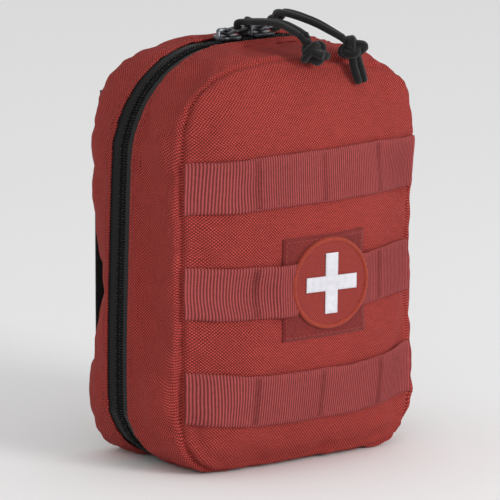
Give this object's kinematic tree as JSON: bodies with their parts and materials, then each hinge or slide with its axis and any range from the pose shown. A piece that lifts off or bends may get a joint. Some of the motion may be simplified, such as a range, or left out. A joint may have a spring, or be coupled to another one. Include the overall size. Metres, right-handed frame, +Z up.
{
  "type": "first aid kit",
  "caption": "Clamshell soft pouch of first aid supplies with wrap-round zip, load webbing, removable round cross patch, looped cord pulls and snap straps behind.",
  "frame": {"origin": "centre of the pouch's own box at the bottom, on the surface it stands on, measured without the pull cords", "axes": "+Z up, +X to the right of someone facing the front, +Y from the front panel to the back"},
  "size_m": [0.1524, 0.108, 0.2187],
  "materials": {
    "red_cloth": "matte woven",
    "red_webbing": "ribbed woven",
    "red_loop": "brushed loop pile",
    "patch_twill": "twill",
    "patch_border": "overlocked thread",
    "white_thread": "satin stitch",
    "black_cloth": "woven tape",
    "black_teeth": "satin",
    "black_cord": "braided",
    "dark_metal": "satin",
    "black_mesh": "open mesh",
    "gauze": "matte",
    "wrapper": "satin"
  },
  "bodies": {
    "back_half": {"back_panel": "red_cloth", "back_gusset": "red_cloth", "back_binding": "black_cloth", "zip_tape_back": "black_cloth", "zip_teeth_back": "black_teeth", "bottom_hinge": "red_cloth", "zip_stop_left": "black_cloth", "zip_stop_right": "black_cloth", "back_webbing_lower": "red_webbing", "back_webbing_middle": "red_webbing", "back_webbing_upper": "red_webbing", "strap_anchor_left": "black_cloth", "strap_anchor_right": "black_cloth", "snap_stud_left": "dark_metal", "snap_stud_right": "dark_metal", "elastic_loops_lower": "black_cloth", "elastic_loops_upper": "black_cloth", "bandage_roll_left": "gauze", "bandage_roll_middle": "gauze", "bandage_roll_right": "gauze", "dressing_pack": "wrapper", "wipes_pack": "wrapper"},
    "front_half": {"front_panel": "red_cloth", "front_gusset": "red_cloth", "front_binding": "black_cloth", "zip_tape_front": "black_cloth", "zip_teeth_front": "black_teeth", "hinge_flap": "red_cloth", "webbing_upper": "red_webbing", "webbing_lower": "red_webbing", "webbing_middle_left": "red_webbing", "webbing_middle_right": "red_webbing", "loop_field": "red_loop", "pocket_sides": "black_mesh", "pocket_mesh": "black_mesh", "pocket_trim": "black_cloth", "triangular_bandage": "gauze", "glove_pack": "wrapper"},
    "patch": {"patch_backing": "black_cloth", "patch_disc": "patch_twill", "patch_border": "patch_border", "patch_cross": "white_thread"},
    "slider_left": {"slider_left": "dark_metal"},
    "pull_left": {"pull_tab_left": "dark_metal", "pull_cord_left": "black_cord", "pull_knot_left": "black_cord"},
    "strap_left": {"strap_left": "black_cloth", "snap_cap_left": "dark_metal"},
    "slider_right": {"slider_right": "dark_metal"},
    "pull_right": {"pull_tab_right": "dark_metal", "pull_cord_right": "black_cord", "pull_knot_right": "black_cord"},
    "strap_right": {"strap_right": "black_cloth", "snap_cap_right": "dark_metal"}
  },
  "joints": [
    {"name": "cover_hinge", "type": "hinge", "parent": "back_half", "child": "front_half", "pos_m": [0, 0.01435, 0], "axis": [1, 0, 0], "range_deg": [0, 175], "deforming": ["pull_cord_left", "pull_cord_right", "pull_knot_left", "pull_knot_right"]},
    {"name": "patch_pull_off", "type": "slide", "parent": "front_half", "child": "patch", "axis": [0, -1, 0], "range_m": [0, 0.02]},
    {"name": "slider_left_travel", "type": "slide", "parent": "back_half", "child": "slider_left", "axis": [-1, 0, 0], "range_m": [0, 0.008]},
    {"name": "slider_right_travel", "type": "slide", "parent": "back_half", "child": "slider_right", "axis": [1, 0, 0], "range_m": [0, 0.011]},
    {"name": "pull_left_lift", "type": "hinge", "parent": "slider_left", "child": "pull_left", "pos_m": [-0.0139, 0.01435, 0.2063], "axis": [0, -1, 0], "range_deg": [0, 110]},
    {"name": "pull_right_lift", "type": "hinge", "parent": "slider_right", "child": "pull_right", "pos_m": [0.0056, 0.01435, 0.2063], "axis": [0, -1, 0], "range_deg": [0, 110]},
    {"name": "strap_left_unsnap", "type": "hinge", "parent": "back_half", "child": "strap_left", "pos_m": [-0.0515, 0.05185, 0.168], "axis": [1, 0, 0], "range_deg": [0, 150]},
    {"name": "strap_right_unsnap", "type": "hinge", "parent": "back_half", "child": "strap_right", "pos_m": [0.0515, 0.05185, 0.168], "axis": [1, 0, 0], "range_deg": [0, 150]}
  ]
}
